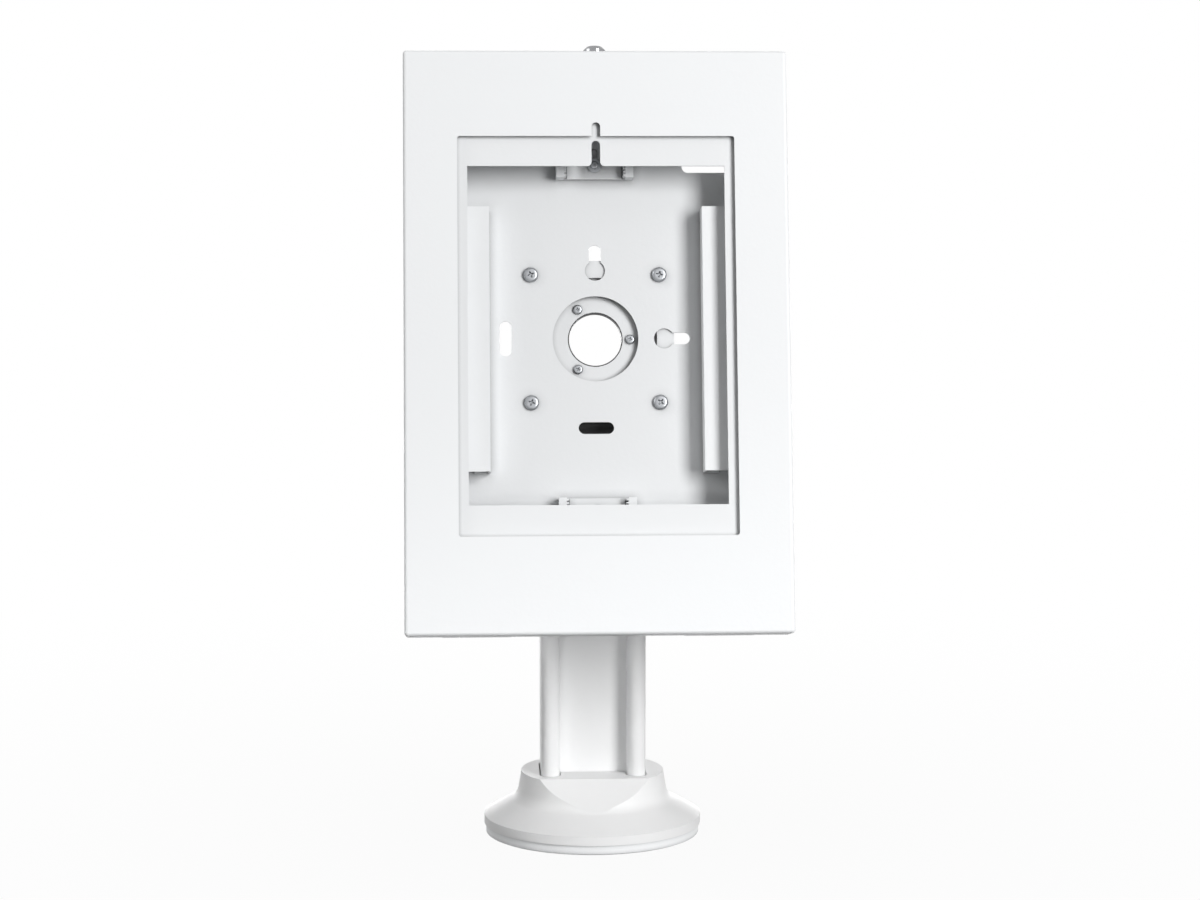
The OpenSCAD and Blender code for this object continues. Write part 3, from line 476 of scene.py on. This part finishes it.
# The case: a folded tray of 1.2 mm steel, powder-coated, with keyholes, cable slots, a slot
# for the tablet's rear camera and the catch of the lock.
# Its painted shade reaches far, darkening the case's inner corners.
case_white = powder_coat("case_powder_coat", CASE_LEVEL, shade_reach=0.006)
soft_copy("rear_case", case_white, edge_r=0.00025)


# The side supports: lipped channels of folded steel, riveted to the case, that the tablet's
# back rests on.
soft_copy("side_support_left", steel_white, edge_r=0.0004)
soft_copy("side_support_right", steel_white, edge_r=0.0004)
paint(zinc, "support_rivets")


# The tracks and sliders: toothed steel guides screwed to the case, with a sliding stop in
# each for one end of the tablet, and a foam pad on the stop.
track_white = powder_coat("track_powder_coat", white=(0.800, 0.811, 0.821), shade_reach=0.0008)
soft_copy("top_track", track_white, edge_r=0.00012)
soft_copy("bottom_track", track_white, edge_r=0.00012)
soft_copy("top_slider", case_white, edge_r=0.0002)
soft_copy("bottom_slider", case_white, edge_r=0.0002)


# The stops' pads: strips of closed-cell foam, cut with a soft crown and stuck to the tablet
# side of each stop.
foam, place = new_finish("black_foam")
pores = place.grain(1500, detail=3.0)
close_finish(foam, place, {
    "Base Color": place.grain(90).tint((0.014, 0.014, 0.015), (0.030, 0.030, 0.031)),
    "Roughness": 0.78 + 0.2 * pores,
    "Normal": pores.relief(depth=0.00015),
})
FOAM_CUTS = 11
# How far the crown falls at the ends and sides, and how far the free edges draw in
END_FALL, SIDE_FALL = 0.40, 0.30
END_DRAW, SIDE_DRAW = 0.02, 0.06


def foam_strip(node, stuck):
    """A crowned strip in the space of a CAD pad; stuck is the side of its glue, 1 up, -1 down."""
    (low, high), = solid_boxes(node)
    strip = bmesh.new()
    bmesh.ops.create_cube(strip, size=1.0)
    bmesh.ops.subdivide_edges(strip, edges=strip.edges, cuts=FOAM_CUTS, use_grid_fill=True)
    for vert in strip.verts:
        free = 0.5 - stuck * vert.co.z
        across = 2 * abs(vert.co.x)
        along = 2 * abs(vert.co.y)
        crown = (1 - END_FALL * across ** 8) * (1 - SIDE_FALL * along ** 4)
        vert.co.z = stuck * (0.5 - free * crown)
        vert.co.x *= 1 - END_DRAW * free * along ** 4
        vert.co.y *= 1 - SIDE_DRAW * free * across ** 6
    bmesh.ops.scale(strip, vec=high - low, verts=strip.verts)
    bmesh.ops.transform(
        strip, matrix=lean @ Matrix.Translation((low + high) / 2), verts=strip.verts
    )
    piece = place_piece(strip, node + "_finished", foam, body_of[node], slot_of[node], node)


foam_strip("top_pad", stuck=1)
foam_strip("bottom_pad", stuck=-1)


# The tracks' screws: the same zinc-plated pan heads as in the mounting plate, each on a
# stamped plain washer, which clamp the sliders in the tracks.
WASHER_EDGE = 0.25
TRACK_HEAD_R, TRACK_HEAD_H = 0.0024, 0.0018
TRACK_SHANK_R, TRACK_PITCH = 0.0015, 0.0005
WASHER_BORE_R, WASHER_T = 0.00155, 0.0008
TRACK_ROLL = radians(27)


def washer(outer_r, inner_r, thickness):
    """A stamped washer along +Y, with its edges broken."""
    edge = WASHER_EDGE * thickness
    shape = bmesh.new()
    outline = [
        (inner_r, edge), (inner_r + edge, 0), (outer_r - edge, 0), (outer_r, edge),
        (outer_r, thickness - edge), (outer_r - edge, thickness),
        (inner_r + edge, thickness), (inner_r, thickness - edge), (inner_r, edge),
    ]
    spun(shape, outline)
    bmesh.ops.recalc_face_normals(shape, faces=shape.faces)
    return shape


whole = bmesh.new()
for low, high in solid_boxes("track_screws"):
    spot, washer_r = head_spot(low, high)
    bolt = screw(TRACK_HEAD_R, TRACK_HEAD_H, TRACK_SHANK_R, high.y - low.y, TRACK_PITCH)
    set_in(whole, bolt, spot, TRACK_ROLL)
    under_head = spot + Vector((0, TRACK_HEAD_H, 0))
    set_in(whole, washer(washer_r, WASHER_BORE_R, WASHER_T), under_head)
place_piece(whole, "track_screws_finished", zinc, "enclosure", "zinc", "track_screws")


# The front cover: a folded tray of 1.2 mm steel with the window, hung on two pinned hinges
# at its lower edge; the inner frame is held behind the window on welded studs.
soft_copy("front_cover", steel_white, edge_r=0.00025)
soft_copy("hinge_leaves", steel_white, edge_r=0.0003)
paint(zinc, "cover_hinge_pins", "frame_nuts")
# The inner frame gets a darker white than the cover's: painted shade for the frame lying back behind the window's
# edge.
frame_white = powder_coat("frame_powder_coat", white=(0.825, 0.836, 0.846))
soft_copy("inner_frame", frame_white, edge_r=0.00025)
paint(polymer, "frame_spacers")


# The lock: a chromed barrel in the cover's top edge, with a turning plug that carries a
# zinc-plated cam.
chrome, place = new_finish("chrome_plating")
wear = place.stretched(1.0, 1.0, 0.2).grain(900, detail=3.0)
close_finish(chrome, place, {
    "Base Color": wear.tint((0.26, 0.265, 0.275), (0.36, 0.365, 0.375)),
    "Metallic": 1.0,
    "Roughness": 0.10 + 0.14 * wear,
    "Normal": wear.relief(depth=0.000006),
})
soft_copy("lock_barrel", chrome, edge_r=0.0003)
soft_copy("lock_plug", chrome, edge_r=0.0002)
paint(zinc, "lock_nut", "lock_cam", "cam_screw")


# The studio: a plain pale floor that runs into a white surround, a large soft box from the
# right, a weak fill from the left, a low strip at the foot and a strip behind the stand.
WHITE = (1.0, 1.0, 1.0, 1.0)
FLOOR_GREY = (0.16, 0.16, 0.16, 1.0)
FLOOR_HALF = 6.0
SHADOW_SHARE = 0.05
AMBIENT = 0.12


def plain_rays(shade):
    """1 for rays of the lens, of a gloss or through glass, 0 for those that carry light."""
    seen = shade.node("LightPath", {}, {}, "Is Camera Ray")
    shine = shade.node("LightPath", {}, {}, "Is Glossy Ray")
    clear = shade.node("LightPath", {}, {}, "Is Transmission Ray")
    return seen + shine + clear


floor_mesh = bpy.data.meshes.new("floor")
ground = bmesh.new()
bmesh.ops.create_grid(ground, x_segments=1, y_segments=1, size=FLOOR_HALF)
ground.to_mesh(floor_mesh)
ground.free()
floor = bpy.data.objects.new("floor", floor_mesh)
bpy.context.scene.collection.objects.link(floor)
pale, place = new_finish("pale_floor")
lit = place.node("BsdfDiffuse", {}, {"Color": FLOOR_GREY})
glow = place.node("Emission", {}, {"Color": WHITE, "Strength": 1.0})
near = place.node("TexGradient", {"gradient_type": "QUADRATIC_SPHERE"}, {"Vector": place}, 1)
white_share = (1.0 - SHADOW_SHARE * near) * plain_rays(place)
blend = place.node("MixShader", {}, {0: white_share, 1: lit, 2: glow})
place.node("OutputMaterial", {}, {"Surface": blend})
floor_mesh.materials.append(pale)


def lamp(name, spot, direction, distance, width, height, level, spread=180):
    """A soft box that looks at a spot, with the spread of its grid in degrees."""
    box = bpy.data.lights.new(name, "AREA")
    box.shape = "RECTANGLE"
    box.size = width
    box.size_y = height
    box.energy = level
    box.spread = radians(spread)
    light = bpy.data.objects.new(name, box)
    toward = Vector(direction).normalized()
    light.location = Vector(spot) + distance * toward
    light.visible_camera = False
    light.rotation_mode = "QUATERNION"
    light.rotation_quaternion = toward.to_track_quat("Z", "Y")
    bpy.context.scene.collection.objects.link(light)


def aim(azimuth, elevation):
    """Direction to a lamp, turned to the right of the lens's side and raised."""
    return (
        sin(radians(azimuth)) * cos(radians(elevation)),
        -cos(radians(azimuth)) * cos(radians(elevation)),
        sin(radians(elevation)),
    )


middle = (0, -0.05, 0.28)
foot = (0, -0.02, 0.07)
lamp("key", middle, aim(35, 16), distance=3.4, width=1.2, height=2.1, level=113)
lamp("fill", middle, aim(-75, 30), distance=2.4, width=1.2, height=1.2, level=17)
lamp("low_strip", foot, aim(-15, 0), distance=1.0, width=0.5, height=0.1, level=0.06, spread=28)
lamp("back_strip", middle, aim(180, -5), distance=1.7, width=1.6, height=0.2, level=15)

world = bpy.data.worlds.new("white_surround")
world.use_nodes = True
world.node_tree.nodes.clear()
sky = Shade(world.node_tree)
ambient = sky.node("Background", {}, {"Color": WHITE, "Strength": AMBIENT})
white = sky.node("Background", {}, {"Color": WHITE, "Strength": 1.0})
blend = sky.node("MixShader", {}, {0: plain_rays(sky), 1: ambient, 2: white})
sky.node("OutputWorld", {}, {"Surface": blend})
bpy.context.scene.world = world
bpy.context.scene.view_settings.view_transform = "Standard"
